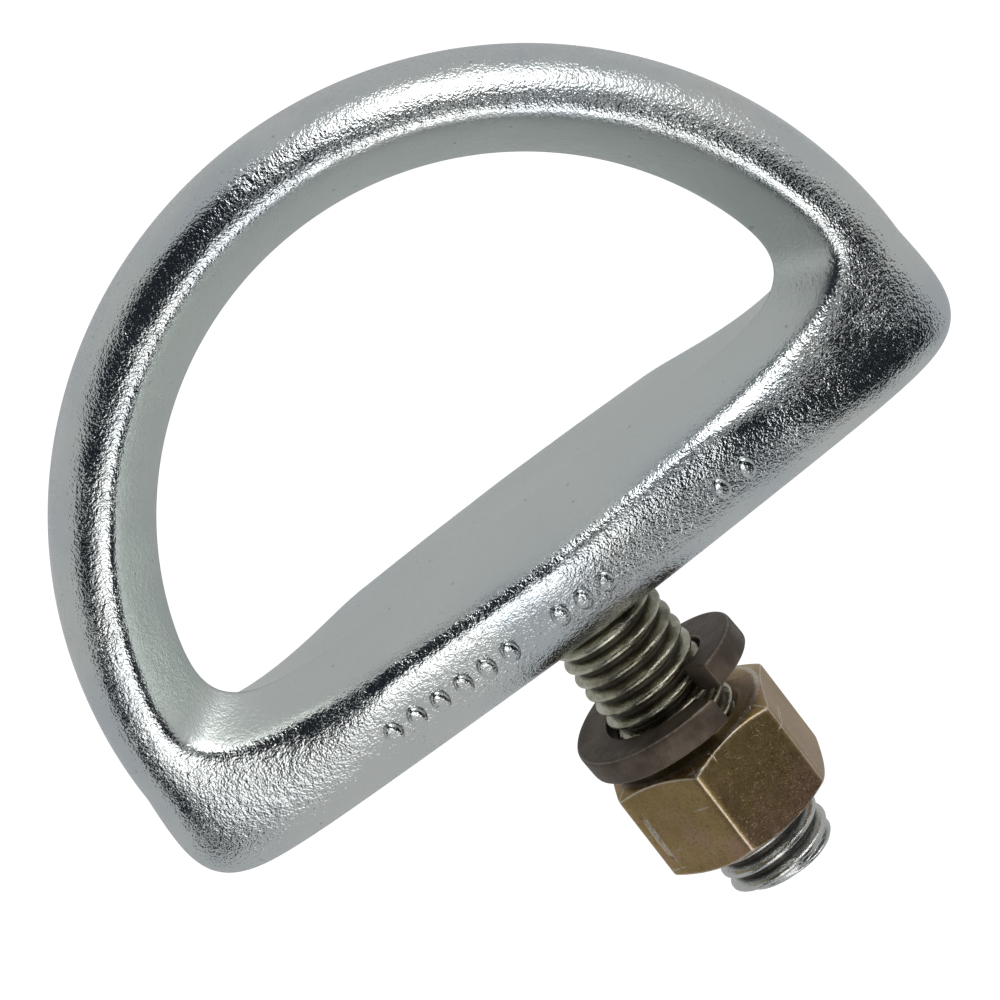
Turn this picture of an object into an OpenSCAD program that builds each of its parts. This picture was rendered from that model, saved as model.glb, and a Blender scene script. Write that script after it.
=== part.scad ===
// Fixed D-ring anchor bolt: a forged D-shaped ring on a threaded stud, with a split lock washer and a hex nut.
// Origin at the middle of the flat seat under the base bar, X along the bar, Z up through the ring.

/* [Ring] */
// Width of the ring where its legs turn into the arch
ring_w = 98; // [82:0.2:120]
// Height of the ring above its seat
ring_h = 63.8; // [54:0.2:78]
// Height at which the straight legs turn into the arch
leg_h = 13.4; // [11:0.1:16.5]
// Thickness of the ring where the legs turn into the arch
leg_t = 11; // [9:0.1:13.5]
// Thickness of the ring at the top of the arch
arch_t = 10.7; // [8.5:0.1:13]
// Depth of the arch, front to back
arch_d = 12.9; // [10.5:0.1:15.5]
// How square the outer corners are
outer_corner = 9; // [6:0.5:16]
// How square the corners of the eye are
inner_corner = 5; // [4:0.5:10]
// Angle at which the legs spread towards the seat
leg_spread = 6.3; // [0:0.1:8]

/* [Base bar] */
// Thickness of the bar at its ends
bar_t = 13.2; // [10.8:0.1:16]
// Extra thickness in the middle of the bar
bar_crown = 0.7; // [0:0.1:2]
// Width of the bar at mid-height, in its middle
bar_w = 25.2; // [20.5:0.1:31]
// Width of the bar at mid-height, at its ends
bar_end_w = 14.2; // [11.5:0.1:17.5]
// How much wider the bar is at its inner face than at mid-height, as a share
bar_draft = 0.265; // [0:0.005:0.4]
// The same share at the bar's ends
end_draft = 0.52; // [0:0.01:0.6]

/* [Stud] */
// Outside diameter of the thread
stud_d = 12.7; // [10:0.1:16]
// Length of the stud below the seat
stud_len = 36.8; // [30.5:0.1:60]
// Advance of the thread in one turn
pitch = 1.954; // [1.5:0.001:2.5]
// Depth of the thread
thread_depth = 1.2; // [0.8:0.05:1.4]
// Depth that the stud is set into the bar
socket_depth = 7; // [4:0.1:8.5]
// Height of the chamfer on the stud's tip
tip_chamfer = 1.3; // [0.5:0.1:2]

/* [Hex nut] */
// Width of the nut across its flats
nut_af = 19.05; // [17:0.05:24]
// Thickness of the nut
nut_t = 12.6; // [8:0.1:13.5]
// Distance from the seat to the nut's upper face
nut_drop = 16.9; // [13:0.1:20]
// Direction of the nut's first corner, from the X axis
nut_angle = 19; // [0:1:60]
// Angle of the chamfer on the nut's corners
nut_chamfer = 30; // [15:1:35]
// Running gap between the thread crests and the nut's bore
thread_gap = 0.05; // [0.02:0.01:0.1]

/* [Lock washer] */
// Radial gap between the thread crests and the washer's bore
washer_gap = 0.45; // [0.4:0.05:1]
// Width of the washer's wire, across the washer
wire_w = 4; // [3:0.1:5]
// Thickness of the washer's wire
wire_t = 3.2; // [2:0.1:4]
// How far one end stands above the other
washer_rise = 3.1; // [1.5:0.1:3.5]
// Angle of the gap between the ends
washer_split = 9; // [4:1:20]
// Direction in which the split faces, from the X axis
split_at = -62; // [-180:1:180]
// Room between the nut and the loose washer, were it level
nut_gap = 0.85; // [0.8:0.05:2]
// Tilt of the loose washer, front side up
washer_tilt = 3; // [0:0.5:4]
// Tilt of the loose washer, left side down
washer_lean = 3; // [0:0.5:4]

/* [Hidden] */
$fn = 96;

half_w = ring_w / 2;
// Height of the hub in the eye, round which the ring is drawn
hub_h = (ring_h + leg_h) * 0.375;
// Stock under the seat, which is cut away flat
seat_stock = 1;
// Radial sections around the ring, and points around each section
ring_steps = 112;
section_steps = 24;
// Roundness powers of the arch's and the bar's sections: 2 is an oval, a high one is a box
arch_power = 2.7;
bar_power = 3;
// Slant of the two faces that meet in a ridge along the eye, and the power that rounds their edges
arch_slant = 42;
bar_slant = 5.4;
slant_power = 13;
// How much wider the arch is at its inner side than at its middle
arch_draft = 0.08;
// How far the section's inner side would reach without the slanted faces
inner_reach = 1.25;
// Power with which the bar narrows to its ends
bow_power = 1.3;
// Sine of the angle below the hub where the arch's section starts to turn into the bar's, and ends
blend_start = 0.22;
blend_end = 0.64;

crest_r = stud_d / 2;
root_r = crest_r - thread_depth;
crest_w = pitch / 8;
root_w = pitch / 4;
nut_r = nut_af / 2 / cos(30);
nut_bore_r = crest_r + thread_gap;
nut_face_r = nut_af / 2 * 0.96;
washer_r = crest_r + washer_gap + wire_w / 2;
washer_drop = nut_drop - nut_gap - wire_t / 2 - washer_rise / 2;
washer_steps = 48;
// Share of the wire's thickness that its rounded corners take
wire_corner = 0.14;

function clamp(v, low, high) = min(max(v, low), high);
function smooth_step(v) = v * v * (3 - 2 * v);
function smooth_least(a, b, power) = pow(pow(a, -power) + pow(b, -power), -1 / power);
function mix(a, b, share) = a + (b - a) * share;

// Where a ray from the hub meets half an oval on two spreading legs
function arch_meets(a, side, top) =
    let (
        up = hub_h - leg_h,
        square = pow(cos(a) / side, 2) + pow(sin(a) / top, 2),
        half_line = up * sin(a) / (top * top),
        rest = pow(up / top, 2) - 1
    )
    (sqrt(max(half_line * half_line - square * rest, 0)) - half_line) / square;
function leg_meets(a, side, spread) =
    (side - tan(spread) * (hub_h - leg_h)) / max(abs(cos(a)) + tan(spread) * sin(a), 0.001);
function body_meets(a, side, top, spread) =
    let (arch = arch_meets(a, side, top))
    hub_h + arch * sin(a) >= leg_h ? arch : leg_meets(a, side, spread);

// Distance from the hub to a D: the arch and its legs, closed by a flat base with rounded corners
function outline_r(a, side, top, base, corner, spread) =
    sin(a) < -0.001
    ? smooth_least(body_meets(a, side, top, spread), base / -sin(a), corner)
    : body_meets(a, side, top, spread);
function eye_floor(a) =
    let (x = (hub_h - bar_t) * cos(a) / max(-sin(a), 0.001))
    bar_t + bar_crown * (1 - pow(clamp(abs(x) / (half_w - leg_t), 0, 1), 2));
function outer_r(a) = outline_r(a, half_w, ring_h - leg_h, hub_h + seat_stock, outer_corner, leg_spread);
function inner_r(a) =
    outline_r(a, half_w - leg_t, ring_h - leg_h - arch_t, hub_h - eye_floor(a), inner_corner, 0);

// One point of the ring: a rounded box or oval, its inner side cut by two slanted faces and widened by its draft
function section_point(a, v) =
    let (
        outer = outer_r(a),
        inner = inner_r(a),
        share = smooth_step(clamp((-sin(a) - blend_start) / (blend_end - blend_start), 0, 1)),
        mid_r = (outer + inner) / 2,
        thick = (outer - inner) / 2,
        bow = clamp(1 - pow(abs(mid_r * cos(a)) / half_w, bow_power), 0, 1),
        wide = mix(arch_d, mix(bar_end_w, bar_w, bow), share) / 2,
        power = mix(arch_power, bar_power, share),
        slant = mix(arch_slant, bar_slant, share),
        draft = mix(arch_draft, mix(end_draft, bar_draft, bow), share),
        deep = cos(v) > 0 ? thick : thick * inner_reach,
        box = pow(pow(abs(cos(v)) / deep, power) + pow(abs(sin(v)) / wide, power), 1 / power),
        cut = max(cos(abs(v - 180) - slant), 0) / (thick * cos(slant) * pow(2, 1 / slant_power)),
        size = pow(pow(box, slant_power) + pow(cut, slant_power), -1 / slant_power),
        r = mid_r + cos(v) * size
    )
    [r * cos(a), sin(v) * size * (1 - draft * cos(v) * size / thick), hub_h + r * sin(a)];

// Faces of a closed tube of rings, each of n points, that joins up with itself
function loop_faces(rings, n) = [
    for (i = [0:rings - 1], j = [0:n - 1])
    let (k = (i + 1) % rings, l = (j + 1) % n)
    each [[i * n + j, k * n + j, k * n + l], [i * n + j, k * n + l, i * n + l]]
];

// Faces of a tube of rings with a flat face on each end
function tube_faces(rings, n) = concat(
    [[for (j = [0:n - 1]) n - 1 - j], [for (j = [0:n - 1]) (rings - 1) * n + j]],
    [
        for (i = [0:rings - 2], j = [0:n - 1])
        let (l = (j + 1) % n)
        each [[i * n + j, i * n + l, (i + 1) * n + l], [i * n + j, (i + 1) * n + l, (i + 1) * n + j]]
    ]
);

module ring_body() {
    polyhedron(
        points = [
            for (i = [0:ring_steps - 1], j = [0:section_steps - 1])
            section_point(i * 360 / ring_steps, j * 360 / section_steps)
        ],
        faces = loop_faces(ring_steps, section_steps)
    );
}

module d_ring() {
    color("silver")
    difference() {
        ring_body();
        translate([-ring_w, -ring_w, -2 * seat_stock])
        cube([2 * ring_w, 2 * ring_w, 2 * seat_stock]);
        translate([0, 0, -seat_stock])
        cylinder(r = crest_r, h = socket_depth + seat_stock);
    }
}

// Outline of the stud: one tooth per turn of the thread, then the chamfered tip
module stud_outline() {
    teeth = floor((stud_len - tip_chamfer) / pitch);
    flank = (pitch - crest_w - root_w) / 2;
    polygon(concat(
        [[0, socket_depth], [crest_r, socket_depth]],
        [
            for (i = [0:teeth - 1])
            let (z = -i * pitch)
            each [
                [crest_r, z - crest_w],
                [root_r, z - crest_w - flank],
                [root_r, z - crest_w - flank - root_w],
                [crest_r, z - pitch]
            ]
        ],
        [[crest_r, tip_chamfer - stud_len], [crest_r - tip_chamfer, -stud_len], [0, -stud_len]]
    ));
}

module threaded_stud() {
    color("gainsboro")
    rotate_extrude()
    stud_outline();
}

// Outline that turns both faces of the nut down to a circle
module nut_envelope() {
    drop = (nut_r - nut_face_r) * tan(nut_chamfer);
    polygon([
        [0, 0],
        [nut_face_r, 0],
        [nut_r, -drop],
        [nut_r, drop - nut_t],
        [nut_face_r, -nut_t],
        [0, -nut_t]
    ]);
}

module hex_nut() {
    color("darkgoldenrod")
    translate([0, 0, -nut_drop])
    rotate([0, 0, nut_angle])
    difference() {
        intersection() {
            translate([0, 0, -nut_t])
            cylinder(r = nut_r, h = nut_t, $fn = 6);
            rotate_extrude()
            nut_envelope();
        }
        translate([0, 0, -nut_t - 1])
        cylinder(r = nut_bore_r, h = nut_t + 2);
    }
}

// Section of the washer's wire, with its corners cut
function wire_section() =
    let (c = wire_corner * wire_t, w = wire_w / 2, t = wire_t / 2)
    [[w, t - c], [w, c - t], [w - c, -t], [c - w, -t], [-w, c - t], [-w, t - c], [c - w, t], [w - c, t]];

// One left-handed turn, from its raised end down to its lower end
module lock_washer() {
    section = wire_section();
    color("dimgray")
    translate([0, 0, -washer_drop])
    rotate([-washer_tilt, -washer_lean, 0])
    polyhedron(
        points = [
            for (i = [0:washer_steps])
            let (
                share = i / washer_steps,
                a = split_at + washer_split / 2 + share * (360 - washer_split)
            )
            for (p = section)
            [(washer_r + p[0]) * cos(a), (washer_r + p[0]) * sin(a), p[1] + washer_rise * (0.5 - share)]
        ],
        faces = tube_faces(washer_steps + 1, len(section))
    );
}

d_ring();
threaded_stud();
lock_washer();
hex_nut();
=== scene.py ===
"""Looks of a fixed D-ring anchor bolt: a forged ring, its threaded stud, a split lock washer and a hex nut.

Shapes are worked out in millimetres as whole numpy grids, and go into their meshes in metres.
"""

import bpy
import numpy as np
from mathutils import Matrix, Vector


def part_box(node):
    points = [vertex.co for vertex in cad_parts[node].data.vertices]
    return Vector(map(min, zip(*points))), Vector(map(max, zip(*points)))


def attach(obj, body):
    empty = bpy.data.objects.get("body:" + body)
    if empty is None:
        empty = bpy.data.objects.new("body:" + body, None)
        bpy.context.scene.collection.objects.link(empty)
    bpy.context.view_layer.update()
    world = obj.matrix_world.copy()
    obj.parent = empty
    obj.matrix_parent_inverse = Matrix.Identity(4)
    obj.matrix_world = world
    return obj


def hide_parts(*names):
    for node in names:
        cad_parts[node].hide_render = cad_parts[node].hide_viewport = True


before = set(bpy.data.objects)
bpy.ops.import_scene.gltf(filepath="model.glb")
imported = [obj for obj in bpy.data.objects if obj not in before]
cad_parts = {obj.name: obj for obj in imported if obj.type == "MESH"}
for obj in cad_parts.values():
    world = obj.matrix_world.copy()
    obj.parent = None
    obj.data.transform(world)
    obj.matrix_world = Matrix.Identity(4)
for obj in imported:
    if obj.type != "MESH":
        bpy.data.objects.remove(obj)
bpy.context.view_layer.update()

MM = 0.001
TURN = 2 * np.pi

# ---------------------------------------------------------------- sizes, in mm and degrees, as the part's own
# Ring: width where its legs turn into the arch, height over the seat, and height of the legs
RING_W, RING_H, LEG_H = 98.0, 63.8, 13.4
# Thickness of the legs and the arch, and the arch's depth from front to back
LEG_T, ARCH_T, ARCH_D = 11.0, 10.7, 12.9
# Bar: thickness at its ends and how much more in the middle, and width in the middle and at its ends
BAR_T, BAR_CROWN = 13.2, 0.7
BAR_W, BAR_END_W = 25.2, 14.2
# Stud: radius over the crests, length below the seat, thread, and a height where a crest passes +X
STUD_R, STUD_LEN, PITCH, THREAD_DEPTH, THREAD_START = 6.35, 36.8, 1.954, 1.2, 1.09
# Nut: width across flats, thickness, depth of its upper face below the seat, and how far it is turned
NUT_AF, NUT_T, NUT_DROP, NUT_ANGLE = 19.05, 12.6, 16.9, 19.0
# Washer: outside, section of its wire, and how far one end rises over the other
WASHER_OD, WIRE_W, WIRE_T, WASHER_RISE = 21.6, 4.0, 3.2, 3.1
# Washer: gap between its ends and where it is, depth of its middle below the seat, and its two small tilts
WASHER_SPLIT, SPLIT_AT, WASHER_DROP, WASHER_TILT, WASHER_LEAN = 9.0, -62.0, 12.9, 3.0, 3.0


def mix(low, high, share):
    return low + (high - low) * share


def ease(share):
    """A step from 0 to 1 with soft ends: three squares less two cubes."""
    share = np.clip(share, 0, 1)
    return share * share * (3 - 2 * share)


def soft_least(first, second, power):
    """The smaller of two lengths, rounded where they are alike: a power sum of their reciprocals."""
    return (np.maximum(first, 1e-6) ** -power + np.maximum(second, 1e-6) ** -power) ** (-1 / power)


def nearness(direction, sides):
    """How near each side of an outline is along a direction, as the reciprocal of a distance.

    Each side is a line at a distance from the centre, faced by its own direction. Its nearness is the cosine
    of the angle between the two directions, over that distance.
    """
    return np.stack([np.maximum(np.cos(direction - facing) / distance, 0) for facing, distance in sides])


def rounded_reach(direction, sides, power):
    """Distance from a centre to a straight-sided outline with rounded corners.

    The power sum of the sides' nearness is led by the nearest side, and rounds a corner where two are alike.
    """
    return (nearness(direction, sides) ** power).sum(axis=0) ** (-1 / power)


def cornered(direction, sides):
    """1 in a corner between two sides, and less away from it: the second nearness over the greatest."""
    ranked = np.sort(nearness(direction, sides), axis=0)
    return ranked[-2] / ranked[-1]


def inside(points, node):
    """Draws a piece's points in by a hair, until they span no more than the CAD node's box."""
    low, high = (np.array(corner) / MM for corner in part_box(node))
    least, most = points.reshape(-1, 3).min(axis=0), points.reshape(-1, 3).max(axis=0)
    return mix(np.maximum(least, low), np.minimum(most, high), (points - least) / (most - least))


# ---------------------------------------------------------------- from a grid of points to a mesh
def skin(name, points, loop=False, tips=(None, None), marks=None):
    """Joins a grid of points, rows along a piece and columns around it, into one closed smooth skin.

    Columns always join up. Rows join up too when loop is set, or else each end is closed by a fan to its tip.
    Faces are turned outwards by the sign of the volume that they enclose.
    """
    rows, columns = points.shape[:2]
    corner = np.arange(rows * columns).reshape(rows, columns)
    near = np.concatenate([corner, corner[:1]]) if loop else corner
    near = np.concatenate([near, near[:, :1]], axis=1)
    quads = np.stack([near[:-1, :-1], near[1:, :-1], near[1:, 1:], near[:-1, 1:]], axis=-1).reshape(-1, 4)
    places = points.reshape(-1, 3)
    fans = []
    for tip, row, back in ((tips[0], near[0], False), (tips[1], near[-1], True)):
        if tip is not None:
            hub = np.full(columns, len(places))
            places = np.concatenate([places, np.array([tip], float)])
            edge = (row[1:], row[:-1]) if back else (row[:-1], row[1:])
            fans.append(np.stack([hub, edge[0], edge[1]], axis=-1))
    thirds = np.concatenate([quads[:, [0, 1, 2]], quads[:, [0, 2, 3]], *fans])
    volume = np.einsum("ij,ij->", places[thirds[:, 0]], np.cross(places[thirds[:, 1]], places[thirds[:, 2]]))
    faces = quads.tolist() + [face for fan in fans for face in fan.tolist()]
    if volume < 0:
        faces = [face[::-1] for face in faces]
    mesh = bpy.data.meshes.new(name)
    mesh.from_pydata((places * MM).tolist(), [], faces)
    mesh.polygons.foreach_set("use_smooth", np.ones(len(mesh.polygons), bool))
    for mark, values in (marks or {}).items():
        spread = np.zeros(len(places), np.float32)
        spread[: rows * columns] = np.broadcast_to(values, (rows, columns)).ravel()
        mesh.attributes.new(mark, "FLOAT", "POINT").data.foreach_set("value", spread)
    mesh.update()
    piece = bpy.data.objects.new(name, mesh)
    bpy.context.scene.collection.objects.link(piece)
    return piece


def joined(name, pieces):
    """One mesh of several closed shells."""
    bpy.ops.object.select_all(action="DESELECT")
    for piece in pieces:
        piece.select_set(True)
    bpy.context.view_layer.objects.active = pieces[0]
    bpy.ops.object.join()
    pieces[0].name = pieces[0].data.name = name
    return pieces[0]


def fit_piece(piece, body, slot, finish, *nodes):
    """Gives a piece its finish and lets it ride on its body, in place of the CAD nodes that it stands for."""
    piece.data.materials.append(finish)
    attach(piece, body)
    if nodes:
        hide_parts(*nodes)


# ---------------------------------------------------------------- the forged ring
# Height of the hub in the eye, and powers that round the outline's lower corners outside and in the eye
HUB_SHARE, OUTER_CORNER, INNER_CORNER = 0.375, 9.0, 5.0
HUB = (RING_H + LEG_H) * HUB_SHARE
# How far the legs spread for each mm down
LEG_FLARE = 0.11
# The section of the arch and of the bar: its power, its slants in the eye, and the power of their ridge
ARCH_POWER, BAR_POWER = 2.68, 3.05
ARCH_SLANT, BAR_SLANT = np.radians(42.0), np.radians(5.4)
ARCH_RIDGE, BAR_RIDGE = 12.8, 13.9
# How much wider the section is towards the eye, on the arch, at the bar's ends and in its middle
ARCH_DRAFT, END_DRAFT, BAR_DRAFT = 0.08, 0.52, 0.265
# Where the arch's section starts and ends its change to the bar's, as a sine below the hub
BLEND_START, BLEND_END = 0.217, 0.644
# Power of the bar's bow in plan, rounding of the seat's edge in mm, and the section's reach past its slants
BOW_POWER, SEAT_ROUND, EYE_REACH = 1.32, 0.5, 1.25
# Where the smoother skin of the eye's faces starts, and over how much it fades in
SATIN_START, SATIN_FADE = 0.9, 0.3
RING_STEPS, SECTION_STEPS = 640, 144


def d_outline(angle, side, top, base, corner, flare=0.0):
    """Distance from the hub to a D, along an angle: half an oval on two legs, closed by a flat base.

    The oval's centre is where the legs start. A ray from the hub meets the oval at the root of a quadratic.
    It meets the base, or a leg, which spreads by the flare towards the base, at the quotient of two lengths.
    """
    across, rise, up = np.maximum(np.abs(np.cos(angle)), 1e-3), np.sin(angle), HUB - LEG_H
    square = (across / side) ** 2 + (rise / top) ** 2
    half_line, rest = up * rise / top**2, (up / top) ** 2 - 1
    arch = (np.sqrt(np.maximum(half_line**2 - square * rest, 0)) - half_line) / square
    leg = (side - flare * up) / np.maximum(across + flare * rise, 1e-3)
    body = np.where(HUB + arch * rise >= LEG_H, arch, leg)
    return np.where(rise < -1e-3, soft_least(body, base / np.maximum(-rise, 1e-6), corner), body)


def ring_surface(angle, turn):
    """Points of the ring, for an angle round the hub in the eye and a turn round the section there.

    The section reaches from the eye's outline to the outer one. It is a rounded box or oval, cut on the eye's
    side by two slanting faces that meet in a ridge, and widened towards the eye by the draft. Its powers,
    width, slant and draft go from the arch's to the bar's below the hub. The seat is where the height is
    softly kept from going below zero.
    """
    half = RING_W / 2
    reach = (HUB - BAR_T) * np.cos(angle) / np.maximum(-np.sin(angle), 1e-6)
    floor = BAR_T + BAR_CROWN * (1 - np.clip(np.abs(reach) / (half - LEG_T), 0, 1) ** 2)
    outer = d_outline(angle, half, RING_H - LEG_H, HUB + 1, OUTER_CORNER, LEG_FLARE)
    inner = d_outline(angle, half - LEG_T, RING_H - LEG_H - ARCH_T, HUB - floor, INNER_CORNER)
    share = ease((-np.sin(angle) - BLEND_START) / (BLEND_END - BLEND_START))
    middle, thick = (outer + inner) / 2, (outer - inner) / 2
    bow = np.clip(1 - np.abs(middle * np.cos(angle) / half) ** BOW_POWER, 0, 1)
    wide = mix(ARCH_D, mix(BAR_END_W, BAR_W, bow), share) / 2
    power, ridge = mix(ARCH_POWER, BAR_POWER, share), mix(ARCH_RIDGE, BAR_RIDGE, share)
    slant, draft = mix(ARCH_SLANT, BAR_SLANT, share), mix(ARCH_DRAFT, mix(END_DRAFT, BAR_DRAFT, bow), share)
    out, front = np.cos(turn), np.sin(turn)
    deep = np.where(out > 0, thick, thick * EYE_REACH)
    box = (np.abs(out / deep) ** power + np.abs(front / wide) ** power) ** (1 / power)
    off_eye = np.abs(np.mod(turn, TURN) - np.pi)
    cut = np.maximum(np.cos(off_eye - slant), 0) / (thick * np.cos(slant) * 2 ** (1 / ridge))
    size = 1 / (box**ridge + cut**ridge) ** (1 / ridge)
    radius = middle + out * size
    across = front * size * (1 - draft * out * size / thick)
    height = HUB + radius * np.sin(angle)
    height = (height + np.sqrt(height**2 + SEAT_ROUND**2)) / 2
    satin = ease((cut / box - SATIN_START) / SATIN_FADE)
    return np.stack([radius * np.cos(angle), across, height], axis=-1), satin


def make_ring():
    """The ring over a whole turn round its hub, with its smoother faces marked."""
    angle = np.linspace(0, TURN, RING_STEPS, endpoint=False)[:, None]
    turn = np.linspace(0, TURN, SECTION_STEPS, endpoint=False)[None, :]
    points, satin = ring_surface(angle, turn)
    return skin("forged_ring", inside(points, "d_ring"), loop=True, marks={"satin": satin})


# Raised pips on the bar's front: where along the bar each row starts, how many it has, and their spacing
PIP_ROWS = [(-24.5, 6, 3.0), (-3.0, 3, 3.0), (18.5, 2, 3.4)]
# Half a pip's width, how many times taller than wide it is, and how far it stands out and is sunk in
PIP_R, PIP_TALL, PIP_RISE, PIP_SUNK = 1.0, 1.5, 0.55, 0.5
# Height of the rows as a share of the bar's thickness, and the power that makes a dome fuller than an oval
PIP_LEVEL, PIP_FULLNESS = 0.45, 0.6
# Small steps round the hub and round the section, in radians, that give the face's tangents
ALONG_STEP, ACROSS_STEP = 0.01, 0.02
PIP_RINGS, PIP_SIDES = 26, 28


def unit(vectors):
    return vectors / np.linalg.norm(vectors, axis=-1, keepdims=True)


def make_pips():
    """Low oval domes in rows, each a closed cap that stands out of the bar's face and is sunk into it.

    A pip's axes are the face's own: two tangents from small steps over the ring, and their cross product. The
    cap's reach is a power of the sine of the angle from its top, and its lift is the cosine.
    """
    along = np.concatenate([start + gap * np.arange(count) for start, count, gap in PIP_ROWS])
    angle = np.arctan2(BAR_T * PIP_LEVEL - HUB, along)
    turn = np.full_like(angle, -np.pi / 2)
    centre, _ = ring_surface(angle, turn)
    sideways = unit(ring_surface(angle + ALONG_STEP, turn)[0] - centre)
    outward = unit(np.cross(sideways, ring_surface(angle, turn - ACROSS_STEP)[0] - centre))
    outward *= -np.sign(outward[:, 1:2])
    upwards = np.cross(outward, sideways)
    down = np.linspace(0, np.pi, PIP_RINGS)[1:-1, None]
    spin = np.linspace(0, TURN, PIP_SIDES, endpoint=False)[None, :]
    reach = PIP_R * np.sin(down) ** PIP_FULLNESS
    lift = np.where(down < np.pi / 2, PIP_RISE, PIP_SUNK) * np.cos(down)
    cap = np.stack([reach * np.cos(spin), reach * PIP_TALL * np.sin(spin), lift + 0 * spin], axis=-1)
    shells = []
    for middle, axes in zip(centre, np.stack([sideways, upwards, outward], axis=1)):
        tips = (middle + axes[2] * PIP_RISE, middle - axes[2] * PIP_SUNK)
        shells.append(skin("pip", middle + cap @ axes, tips=tips))
    return joined("die_pips", shells)


# ---------------------------------------------------------------- the stud
# Widths of the thread's crest and root as shares of the pitch, and how hollow its flanks are
CREST_SHARE, ROOT_SHARE, FLANK_HOLLOW = 1 / 8, 1 / 4, 0.75
# How far the shank goes up into the bar, and the height of its domed end face
STUD_SUNK, TIP_DOME = 2.0, 0.9
# The tip's chamfer: its height, its slope, how far out of the crests it starts, and its edge's power
CHAMFER_H, CHAMFER_SLOPE, CHAMFER_ROOM, CHAMFER_POWER = 1.6, 1.1, 0.25, 40
# Heights over the chamfer's start between which the mark of the thread's depth fades in
FADE_START, FADE_END = -0.3, 0.2
STUD_SIDES, ROWS_A_PITCH, FACE_ROWS = 120, 20, 24


def thread_radius(around, height):
    """Radius of a right-handed thread: its rounded crest climbs one pitch a turn, over narrow roots."""
    off_crest = np.mod((height - THREAD_START) / PITCH - around / TURN + 0.5, 1) - 0.5
    flank_width = 0.5 - CREST_SHARE / 2 - ROOT_SHARE / 2
    flank = np.clip((np.abs(off_crest) - CREST_SHARE / 2) / flank_width, 0, 1)
    return STUD_R - THREAD_DEPTH * mix(flank, flank**2, FLANK_HOLLOW)


def make_stud():
    """The thread over a round bar, its end turned down to a chamfer and a slightly domed face."""
    around = np.linspace(0, TURN, STUD_SIDES, endpoint=False)[None, :]
    height = np.arange(STUD_SUNK, TIP_DOME - STUD_LEN, -PITCH / ROWS_A_PITCH)[:, None]
    tip_at = CHAMFER_H - STUD_LEN
    chamfer = STUD_R + CHAMFER_ROOM + np.minimum(height - tip_at, 0) * CHAMFER_SLOPE
    radius = soft_least(thread_radius(around, height), chamfer, CHAMFER_POWER)
    shank = np.stack([radius * np.cos(around), radius * np.sin(around), height + 0 * radius], axis=-1)
    share = np.linspace(0, 1, FACE_ROWS, endpoint=False)[1:, None]
    last = height[-1, 0]
    face_r = radius[-1:] * (1 - share)
    drop = (last + STUD_LEN) * (1 - (1 - share) ** 2) ** 0.5
    face = np.stack([face_r * np.cos(around), face_r * np.sin(around), last - drop + 0 * face_r], axis=-1)
    points = np.concatenate([shank, face])
    # The depth mark carries the painted shade of the thread's roots into its finish, and fades out over the
    # chamfer.
    depth = (STUD_R - thread_radius(around, points[..., 2])) / THREAD_DEPTH
    depth *= ease((points[..., 2] - tip_at - FADE_START) / (FADE_END - FADE_START))
    tips = ((0, 0, STUD_SUNK), (0, 0, -STUD_LEN))
    return skin("thread", inside(points, "threaded_stud"), tips=tips, marks={"depth": np.clip(depth, 0, 1)})


# ---------------------------------------------------------------- the washer
# Length of the rounding at each end, in mm, and the wire's scales over its first two rows
END_ROUND, END_SCALES = 0.25, [0.88, 0.96]
# Power that rounds the wire's corners, and where and over how much their mark of wear and painted highlight
# starts
WIRE_POWER, WIRE_WEAR_HIGHLIGHT_START, WIRE_WEAR_HIGHLIGHT_FADE, END_WEAR_HIGHLIGHT = 9, 0.72, 0.25, 0.3
WASHER_STEPS, WIRE_SIDES = 160, 72


def make_washer():
    """One left-handed turn of rounded square wire, its ends cut square and tilted with the loose washer."""
    span = np.radians(360 - WASHER_SPLIT)
    trim = END_ROUND / (WASHER_OD / 2 * span)
    start = np.array([0, 0.3, 1]) * trim
    share = np.concatenate([start, np.linspace(0, 1, WASHER_STEPS)[1:-1], 1 - start[::-1]])
    scale = np.ones(len(share))
    scale[:2], scale[-2:] = END_SCALES, END_SCALES[::-1]
    angle = (np.radians(SPLIT_AT + WASHER_SPLIT / 2) + share * span)[:, None]
    around = np.linspace(0, TURN, WIRE_SIDES, endpoint=False)[None, :]
    sides = [(0, WIRE_W / 2), (np.pi / 2, WIRE_T / 2), (np.pi, WIRE_W / 2), (-np.pi / 2, WIRE_T / 2)]
    reach = rounded_reach(around, sides, WIRE_POWER) * scale[:, None]
    radius = WASHER_OD / 2 - WIRE_W / 2 + reach * np.cos(around)
    height = WASHER_RISE * (0.5 - share[:, None]) + reach * np.sin(around)
    points = np.stack([radius * np.cos(angle), radius * np.sin(angle), height], axis=-1)
    lean = Matrix.Rotation(np.radians(-WASHER_LEAN), 3, "Y")
    tilt = Matrix.Rotation(np.radians(-WASHER_TILT), 3, "X")
    points = inside(points @ np.array(lean @ tilt).T - [0, 0, WASHER_DROP], "lock_washer")
    # Lighter wire corners and cut ends: partly real wear and partly painted highlight on the edges.
    corner = ease((cornered(around, sides) - WIRE_WEAR_HIGHLIGHT_START) / WIRE_WEAR_HIGHLIGHT_FADE)
    at_end = np.minimum(share, 1 - share)[:, None] < trim * 1.5
    tips = (points[0].mean(0), points[-1].mean(0))
    return skin("spring_washer", points, tips=tips, marks={"wear_and_highlight": np.where(at_end, END_WEAR_HIGHLIGHT, corner)})


# ---------------------------------------------------------------- the nut
# Radius of its flat faces, slant of the chamfers around them, and running clearance of its thread
NUT_FACE_R, NUT_CHAMFER, NUT_CLEARANCE = NUT_AF / 2 * 0.96, np.radians(30), 0.12
# Radius in the middle of its wall, how far its countersinks open past the crests, and where its thread stops
NUT_MIDDLE, NUT_SINK, NUT_THREAD_GAP = 7.6, 0.35, 0.4
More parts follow.
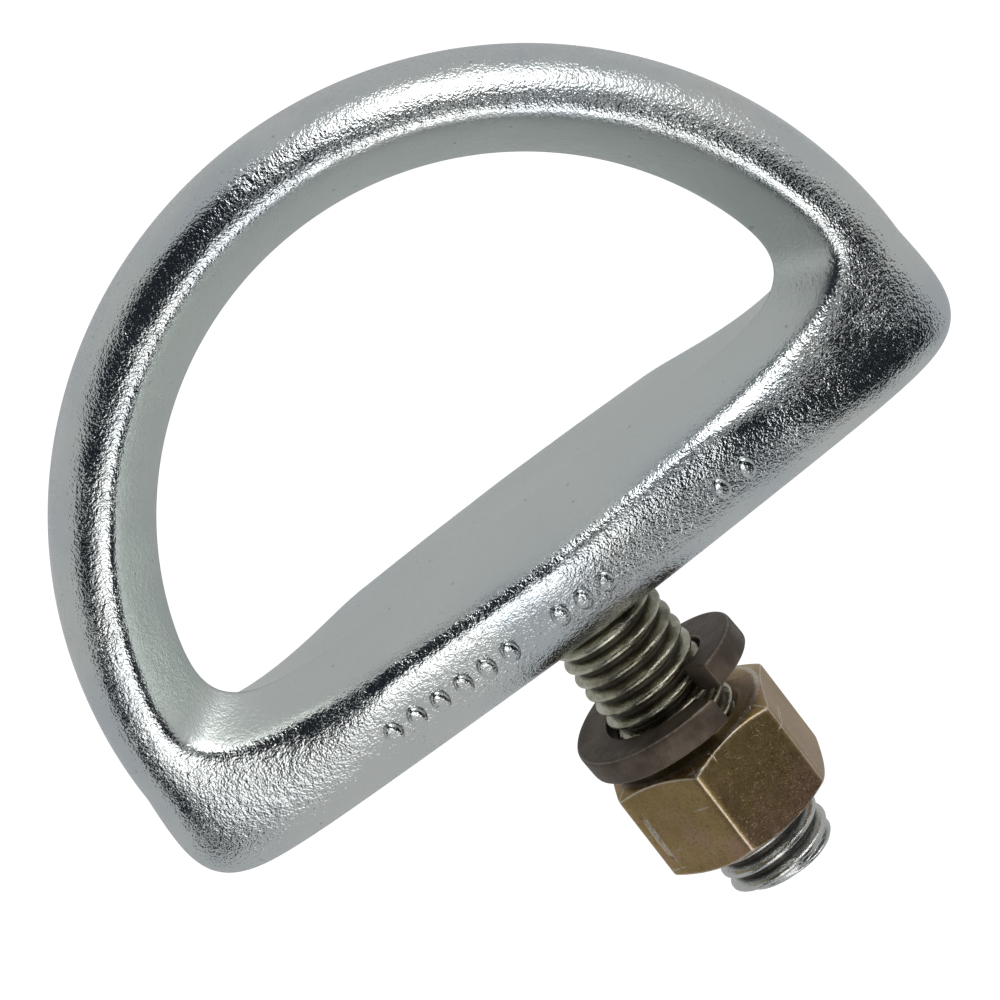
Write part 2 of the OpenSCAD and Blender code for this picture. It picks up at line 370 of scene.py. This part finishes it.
# Powers that round the six upright edges, and the edges around its wall's section
UPRIGHT_POWER, SECTION_POWER = 55, 48
# Where the marks of wear and painted highlight start on edges around the section and on upright ones, and how
# far in the latter start
EDGE_WEAR_HIGHLIGHT, UPRIGHT_WEAR_HIGHLIGHT, UPRIGHT_WEAR_HIGHLIGHT_IN = 0.93, 0.97, 1.2
FLAT_STEPS = 28
# Samples on each side of the section, and how much they crowd towards its ends
SIDE_STEPS = {
    "outside": 34, "upper chamfer": 10, "upper face": 10, "upper sink": 12,
    "bore": 150, "lower sink": 12, "lower face": 10, "lower chamfer": 10,
}
CROWDING, BORE_CROWDING = 0.85, 0.3


def crowded(share):
    """Shares from 0 to 1, crowded towards both ends by a cosine."""
    return 0.5 - 0.5 * np.cos(np.pi * share)


def meeting(first, second):
    """Direction of the corner where two sides of an outline cross, each a facing and a distance."""
    (a, m), (b, n) = first, second
    cross = np.cos(a) * np.sin(b) - np.sin(a) * np.cos(b)
    across, up = (np.sin(b) * m - np.sin(a) * n) / cross, (np.cos(a) * n - np.cos(b) * m) / cross
    return np.arctan2(up, across)


def make_nut():
    """A hexagon with both faces chamfered, carried round its wall's middle, and a thread cut in its bore.

    At each angle the wall's section is a many-sided outline: outside, chamfers, faces, countersinks and bore.
    Samples crowd towards its corners and towards the six upright edges.
    """
    crowd = crowded(np.linspace(0, 1, FLAT_STEPS, endpoint=False))
    around = (np.radians(NUT_ANGLE) + (np.arange(6)[:, None] + crowd[None, :]).ravel() * TURN / 6)[:, None]
    flats = [(np.radians(NUT_ANGLE + 30 + 60 * side), NUT_AF / 2) for side in range(6)]
    hexagon = rounded_reach(around, flats, UPRIGHT_POWER)
    middle, half = NUT_MIDDLE, NUT_T / 2
    minor, sink = STUD_R - THREAD_DEPTH + NUT_CLEARANCE, STUD_R + NUT_SINK
    up, slope, even = np.pi / 2, np.pi / 4, np.ones_like(around)
    cone = ((NUT_FACE_R - middle) * np.sin(NUT_CHAMFER) + half * np.cos(NUT_CHAMFER)) * even
    dish = ((middle - sink) * np.sin(slope) + half * np.cos(slope)) * even
    sides = [
        (0.0, hexagon - middle), (up - NUT_CHAMFER, cone), (up, half * even), (up + slope, dish),
        (np.pi, (middle - minor) * even), (-up - slope, dish), (-up, half * even), (NUT_CHAMFER - up, cone),
    ]
    corners = [meeting(first, second) for first, second in zip(sides, sides[1:] + sides[:1])]
    parts = []
    for k, (side, count) in enumerate(SIDE_STEPS.items()):
        start = corners[k - 1]
        end = start + np.mod(corners[k] - start, TURN)
        spread = np.linspace(0, 1, count, endpoint=False)
        if side == "bore":
            spread = mix(spread, crowded(spread), BORE_CROWDING)
            low, high = np.tan(np.pi - start), np.tan(np.pi - end)
            parts.append(np.pi - np.arctan(mix(low, high, spread)))
        else:
            parts.append(mix(start, end, mix(spread, crowded(spread), CROWDING)))
    direction = np.concatenate(parts, axis=1)
    reach = rounded_reach(direction, sides, SECTION_POWER)
    radius, height = middle + reach * np.cos(direction), reach * np.sin(direction) - NUT_DROP - half
    threaded = np.maximum(radius, thread_radius(around, height) + NUT_CLEARANCE)
    radius = np.where(radius < middle - NUT_THREAD_GAP, threaded, radius)
    points = np.stack([radius * np.cos(around), radius * np.sin(around), height], axis=-1)
    # Bright edges around the section and upright ones: partly real wear and partly painted highlight.
    edge = ease((cornered(direction, sides) - EDGE_WEAR_HIGHLIGHT) / (1 - EDGE_WEAR_HIGHLIGHT)) * (radius > middle)
    upright = ease((cornered(around, flats) - UPRIGHT_WEAR_HIGHLIGHT) / (1 - UPRIGHT_WEAR_HIGHLIGHT))
    wear_and_highlight = np.maximum(edge, upright * (radius > middle + UPRIGHT_WEAR_HIGHLIGHT_IN))
    return skin("hexagon_nut", inside(points, "hex_nut"), loop=True, marks={"wear_and_highlight": wear_and_highlight})


# ---------------------------------------------------------------- surface recipes
class Value:
    """A socket whose value varies over a surface. Arithmetic on it adds Math nodes to its recipe."""

    def __init__(self, recipe, socket):
        self.recipe, self.socket = recipe, socket

    def math(self, operation, *values):
        return self.recipe.node("ShaderNodeMath", {"operation": operation}, dict(enumerate(values)))

    def __add__(self, other):
        return self.math("ADD", self, other)

    def __sub__(self, other):
        return self.math("SUBTRACT", self, other)

    def __rsub__(self, other):
        return self.math("SUBTRACT", other, self)

    def __mul__(self, other):
        return self.math("MULTIPLY", self, other)

    __radd__, __rmul__ = __add__, __mul__

    def step(self, low, high):
        """0 below low, 1 above high, with a soft step between. A high below low turns it round."""
        if high < low:
            return 1 - self.step(high, low)
        ends = {"Value": self, "From Min": low, "From Max": high, "To Min": 0.0, "To Max": 1.0}
        return self.recipe.node("ShaderNodeMapRange", {"interpolation_type": "SMOOTHSTEP"}, ends)


class Recipe:
    """One metal finish: its nodes, and the shader that they feed."""

    def __init__(self, name):
        self.finish = bpy.data.materials.new(name)
        self.finish.use_nodes = True
        self.tree = self.finish.node_tree
        self.shader = self.tree.nodes["Principled BSDF"]
        self.place = self.node("ShaderNodeTexCoord", output="Object")

    def node(self, kind, settings=None, inputs=None, output=0):
        """Adds a node. Its settings come first, and then the numbers, colours or values of its sockets."""
        made = self.tree.nodes.new(kind)
        for setting, choice in (settings or {}).items():
            setattr(made, setting, choice)
        for socket, value in (inputs or {}).items():
            self.feed(made.inputs[socket], value)
        return Value(self, made.outputs[output])

    def feed(self, socket, value):
        if isinstance(value, Value):
            self.tree.links.new(value.socket, socket)
        elif hasattr(socket.default_value, "__len__") and len(socket.default_value) == 4:
            socket.default_value = (*value, 1.0)
        else:
            socket.default_value = value

    def mark(self, name):
        return self.node("ShaderNodeAttribute", {"attribute_name": name}, output="Fac")

    def height(self):
        """Height over the seat, in metres."""
        return self.node("ShaderNodeSeparateXYZ", {}, {"Vector": self.place}, output="Z")

    def moved(self, stretch, seed):
        """The piece's own place, stretched, and moved by a seed so that no two patterns agree."""
        sockets = {"Vector": self.place, "Location": (seed, seed, seed), "Scale": stretch}
        return self.node("ShaderNodeMapping", {}, sockets)

    def grain(self, per_mm, detail, roughness, stretch=(1, 1, 1), seed=0.0, distortion=0.0):
        """Cloudy noise in the piece's own place, with features of one over per_mm millimetres."""
        sockets = {"Vector": self.moved(stretch, seed), "Scale": per_mm / MM, "Detail": detail}
        sockets |= {"Roughness": roughness, "Distortion": distortion}
        return self.node("ShaderNodeTexNoise", {"normalize": True}, sockets)

    def spots(self, per_mm, seed):
        """Rounded cells: 0 in the middle of each and rising to its border."""
        sockets = {"Vector": self.moved((1, 1, 1), seed), "Scale": per_mm / MM, "Smoothness": 0.6}
        return self.node("ShaderNodeTexVoronoi", {"feature": "SMOOTH_F1"}, sockets)

    def blend(self, share, low, high):
        """From one colour to another by a share. The colours are inputs 6 and 7 of a Mix node."""
        settings = {"data_type": "RGBA", "clamp_factor": True}
        return self.node("ShaderNodeMix", settings, {"Factor": share, 6: low, 7: high}, output=2)

    def relief(self, height, depth_mm):
        """Raises the surface by a height between 0 and 1, times a depth."""
        sockets = {"Height": height, "Distance": depth_mm * MM, "Strength": 1.0}
        return self.node("ShaderNodeBump", {}, sockets, output="Normal")

    def finish_as(self, **sockets):
        """Feeds the shader's sockets, whose names have underscores here in place of spaces."""
        for socket, value in sockets.items():
            self.feed(self.shader.inputs[socket.replace("_", " ")], value)
        return self.finish


def bright_zinc():
    """Zinc plate on a shot-blasted forging: cool and grainy, smoother and greener on the eye's faces."""
    r = Recipe("bright_zinc")
    satin = r.mark("satin")
    fine, glint = r.grain(1.9, 2, 0.6), r.grain(4.2, 1, 0.5, seed=0.31)
    swell, cloud = r.grain(0.16, 2, 0.5, seed=0.7), r.grain(0.05, 4, 0.6, seed=0.2)
    rough_patch = r.grain(0.12, 3, 0.6, seed=0.55).step(0.3, 0.7)
    pits = r.spots(0.35, seed=0.12).step(0.1, 0.03)
    blasted = (fine * 0.62 + glint * 0.36) * (0.6 + 0.6 * rough_patch) * (1 - satin * 0.5)
    height = blasted + swell * 0.6 - pits * 0.2
    colour = r.blend(cloud.step(0.35, 0.65), (0.57, 0.61, 0.635), (0.67, 0.69, 0.67))
    colour = r.blend(satin * 0.7, colour, (0.66, 0.70, 0.665))
    colour = r.blend(pits * 0.4, colour, (0.25, 0.25, 0.25))
    rough = 0.08 + 0.08 * fine + 0.22 * satin + 0.04 * cloud
    return r.finish_as(Base_Color=colour, Metallic=1.0, Roughness=rough, Normal=r.relief(height, 0.2))


# Heights between which the thread turns from olive to a lighter grey towards its tip, in mm. The lighter grey
# is partly the zinc's own and partly painted highlight where the tip meets the low light.
TIP_LIGHTER_FROM, TIP_LIGHTER_BELOW = -14.0, -26.0


def thread_zinc():
    """Plated rolled thread: olive near the seat and a lighter grey towards its tip, that grey partly painted
    highlight, with painted shade darkening its roots.
    """
    r = Recipe("thread_zinc")
    depth, fine, patch = r.mark("depth"), r.grain(2.2, 4, 0.65), r.grain(0.22, 3, 0.6, seed=0.4)
    drawn = r.grain(1.1, 3, 0.6, stretch=(1, 1, 4), seed=0.6)
    low = r.height().step(TIP_LIGHTER_FROM * MM, TIP_LIGHTER_BELOW * MM)
    # Painted shade: the thread's roots are darkened, and made rougher, along the depth mark.
    root_shade = (depth + patch * 0.5 - 0.25).step(0.45, 0.95)
    colour = r.blend(patch.step(0.35, 0.65), (0.25, 0.225, 0.165), (0.58, 0.56, 0.45))
    # Lighter grey below these heights: partly the zinc's own grey and partly painted highlight on the tip.
    colour = r.blend(low, colour, (0.60, 0.61, 0.59))
    colour = r.blend(root_shade * 0.9, colour, (0.05, 0.04, 0.03))
    rough = 0.15 + 0.14 * fine + 0.3 * root_shade
    height = fine * 0.4 + drawn
    return r.finish_as(Base_Color=colour, Metallic=1.0, Roughness=rough, Normal=r.relief(height, 0.09))


def brown_oxide():
    """Oiled brown oxide on spring steel: dull, blotched, and lighter along its edges, partly rubbed to bare
    metal and partly a painted highlight.
    """
    r = Recipe("brown_oxide")
    wear_and_highlight, fine, patch = r.mark("wear_and_highlight"), r.grain(1.8, 5, 0.68), r.grain(0.3, 4, 0.6, seed=0.5)
    # Lighter edges: partly rubbed bare metal and partly painted highlight.
    rub_and_highlight = (wear_and_highlight * 0.8 + fine * 0.6 - 0.3).step(0.45, 0.9)
    colour = r.blend(patch.step(0.3, 0.7), (0.070, 0.053, 0.039), (0.138, 0.108, 0.082))
    colour = r.blend(rub_and_highlight * 0.75, colour, (0.30, 0.25, 0.20))
    rough = 0.42 + 0.16 * fine - 0.12 * rub_and_highlight
    return r.finish_as(Base_Color=colour, Metallic=0.85, Roughness=rough, Normal=r.relief(fine, 0.12))


def yellow_zinc():
    """Yellow passivated zinc: gold to rose and brown, speckled, with silver nicks and bright edges that are
    partly rubbed and partly painted highlight.
    """
    r = Recipe("yellow_zinc")
    wear_and_highlight, fine, speck = r.mark("wear_and_highlight"), r.grain(1.6, 5, 0.65), r.grain(3.0, 2, 0.6, seed=0.45)
    cloud, blush = r.grain(0.07, 4, 0.6, seed=0.9), r.grain(0.1, 3, 0.6, seed=0.35, distortion=0.5)
    upright = r.grain(0.5, 2, 0.5, stretch=(1.4, 1.4, 0.16), seed=0.15)
    level = r.grain(0.5, 2, 0.5, stretch=(0.2, 0.2, 2.2), seed=0.65)
    nicks = upright.step(0.665, 0.69) + level.step(0.68, 0.705)
    hairs = r.grain(1.9, 3, 0.75, seed=0.77, distortion=2.2).step(0.6, 0.72)
    colour = r.blend(cloud.step(0.35, 0.65), (0.32, 0.22, 0.095), (0.52, 0.37, 0.165))
    colour = r.blend(blush.step(0.46, 0.66) * 0.65, colour, (0.46, 0.285, 0.20))
    colour = r.blend(speck.step(0.5, 0.66) * 0.35, colour, (0.12, 0.085, 0.055))
    colour = r.blend(hairs * 0.4, colour, (0.58, 0.48, 0.34))
    # Bright edges: partly rubbed bare metal and partly painted highlight.
    rub_and_highlight = (wear_and_highlight * 0.9 + fine * 0.8 - 0.35).step(0.5, 1.0)
    colour = r.blend(nicks * 0.65 * fine.step(0.35, 0.55), colour, (0.66, 0.64, 0.60))
    colour = r.blend(rub_and_highlight * 0.8, colour, (0.66, 0.60, 0.52))
    rough = 0.27 + 0.14 * fine + 0.08 * cloud
    height = fine * 0.5 + hairs * 0.3 - nicks * 0.4
    return r.finish_as(Base_Color=colour, Metallic=1.0, Roughness=rough, Normal=r.relief(height, 0.08))


# ---------------------------------------------------------------- the pieces
forging_finish = bright_zinc()
fit_piece(make_ring(), "ring", "bright_zinc", forging_finish, "d_ring")
fit_piece(make_pips(), "ring", "bright_zinc", forging_finish)
fit_piece(make_stud(), "ring", "thread_zinc", thread_zinc(), "threaded_stud")
fit_piece(make_washer(), "washer", "brown_oxide", brown_oxide(), "lock_washer")
fit_piece(make_nut(), "nut", "yellow_zinc", yellow_zinc(), "hex_nut")

# ---------------------------------------------------------------- camera
AZIMUTH, ELEVATION, ROLL = np.radians([1.352, 20.823, 37.554])
AIM = np.array([-0.924, 0.0, 15.923]) * MM
# Distance to the aim, width that the view spans there, and width of the camera's sensor in its own mm
DISTANCE, VIEW_WIDTH, SENSOR_WIDTH = 820.7 * MM, 103.892 * MM, 36.0
flat_way = np.array([np.sin(AZIMUTH), -np.cos(AZIMUTH), 0.0])
toward = flat_way * np.cos(ELEVATION) + np.array([0.0, 0.0, np.sin(ELEVATION)])
level = np.array([np.cos(AZIMUTH), np.sin(AZIMUTH), 0.0])
upward = np.cross(toward, level)
right = level * np.cos(ROLL) - upward * np.sin(ROLL)
above = level * np.sin(ROLL) + upward * np.cos(ROLL)


def facing(place, look, head):
    """A placement at place whose -Z looks back along look and whose Y is up along head."""
    side = np.cross(head, look)
    side = side / np.linalg.norm(side)
    head = np.cross(look, side)
    turn = Matrix(np.column_stack([side, head, look]).tolist()).to_4x4()
    return Matrix.Translation(Vector(place)) @ turn


camera = bpy.data.objects.new("camera", bpy.data.cameras.new("camera"))
bpy.context.scene.collection.objects.link(camera)
camera.matrix_world = facing(AIM + toward * DISTANCE, toward, above)
camera.data.sensor_width = SENSOR_WIDTH
camera.data.lens = SENSOR_WIDTH * DISTANCE / VIEW_WIDTH
camera.data.clip_start, camera.data.clip_end = 0.01, 100.0
bpy.context.scene.camera = camera

# ---------------------------------------------------------------- studio
CARD_COLOUR, FLOOR_COLOUR, SKY_COLOUR = (0.014, 0.018, 0.024), (0.86, 0.86, 0.86), (0.97, 0.99, 1.0)
FLOOR_DROP, FLOOR_WIDTH, FLOOR_GLOW, SKY_GLOW = 1.5, 80.0, 0.62, 0.54


def studio_way(sideways, upwards, nearer):
    """A direction from the object, as seen by the camera."""
    way = right * sideways + above * upwards + toward * nearer
    return way / np.linalg.norm(way)


def softbox(name, way, distance, width, height, power):
    """A rectangular lamp along a way from the object, sizes in metres and power in watts."""
    lamp = bpy.data.lights.new(name, "AREA")
    lamp.shape, lamp.size, lamp.size_y, lamp.energy = "RECTANGLE", width, height, power
    box = bpy.data.objects.new(name, lamp)
    bpy.context.scene.collection.objects.link(box)
    box.matrix_world = facing(AIM + way * distance, way, above)
    box.visible_camera = False


def plain_finish(name, colour, glow=0.0):
    """A dull even finish without any shine, which may give off some white light."""
    finish = bpy.data.materials.new(name)
    finish.use_nodes = True
    shader = finish.node_tree.nodes["Principled BSDF"]
    shader.inputs["Base Color"].default_value = (*colour, 1.0)
    shader.inputs["Roughness"].default_value = 0.9
    shader.inputs["Specular IOR Level"].default_value = 0.0
    shader.inputs["Emission Color"].default_value = (1, 1, 1, 1)
    shader.inputs["Emission Strength"].default_value = glow
    return finish


def flat_sheet(name, centre, look, head, width, height, finish):
    """A flat stage sheet of two by two faces, facing along look."""
    grid = np.linspace(-0.5, 0.5, 3)
    x, y = np.meshgrid(grid * width, grid * height, indexing="ij")
    local = np.stack([x, y, 0 * x, 0 * x + 1], axis=-1).reshape(-1, 4)
    placed = local @ np.array(facing(centre, look, head)).T
    index = np.arange(9).reshape(3, 3)
    faces = np.stack([index[:-1, :-1], index[1:, :-1], index[1:, 1:], index[:-1, 1:]], axis=-1).reshape(-1, 4)
    mesh = bpy.data.meshes.new(name)
    mesh.from_pydata(placed[:, :3].tolist(), [], faces.tolist())
    mesh.materials.append(finish)
    sheet = bpy.data.objects.new(name, mesh)
    bpy.context.scene.collection.objects.link(sheet)
    return sheet


def dark_card(name, way, distance, width, length, along):
    """A black studio card that only the metal's reflections see, its length along a direction."""
    finish = plain_finish(name, CARD_COLOUR)
    card = flat_sheet(name, AIM + way * distance, -way, along, width, length, finish)
    card.visible_camera = card.visible_diffuse = card.visible_shadow = False


floor_finish = plain_finish("pale_floor", FLOOR_COLOUR, FLOOR_GLOW)
floor = flat_sheet("floor", (0, 0, -FLOOR_DROP), (0, 0, 1), (0, 1, 0), FLOOR_WIDTH, FLOOR_WIDTH, floor_finish)
floor.visible_glossy = False
softbox("top_softbox", studio_way(0.10, 0.72, 0.68), distance=0.7, width=0.60, height=0.60, power=2.4)
softbox("low_softbox", studio_way(0.36, -0.66, 0.66), distance=0.5, width=0.46, height=0.30, power=0.62)
for name, way, distance, width, length, along in (
    ("left_card", (-0.58, -0.02, 0.81), 0.5, 0.50, 0.74, (0.5, -0.86, 0.1)),
    ("front_card", (-0.03, -0.02, 1.0), 0.5, 0.14, 0.84, (0.79, 0.61, 0.0)),
    ("low_card", (-0.415, -0.829, 0.375), 0.4, 0.15, 0.44, (-0.24, 0.64, 0.36)),
    ("right_card", (0.84, -0.34, 0.42), 0.4, 0.30, 0.54, (-0.07, 0.46, 1.37)),
):
    dark_card(name, studio_way(*way), distance, width, length, studio_way(*along))

world = bpy.data.worlds.new("studio")
bpy.context.scene.world = world
world.use_nodes = True
world.node_tree.nodes["Background"].inputs["Color"].default_value = (*SKY_COLOUR, 1.0)
world.node_tree.nodes["Background"].inputs["Strength"].default_value = SKY_GLOW
bpy.context.scene.view_settings.view_transform = "Standard"
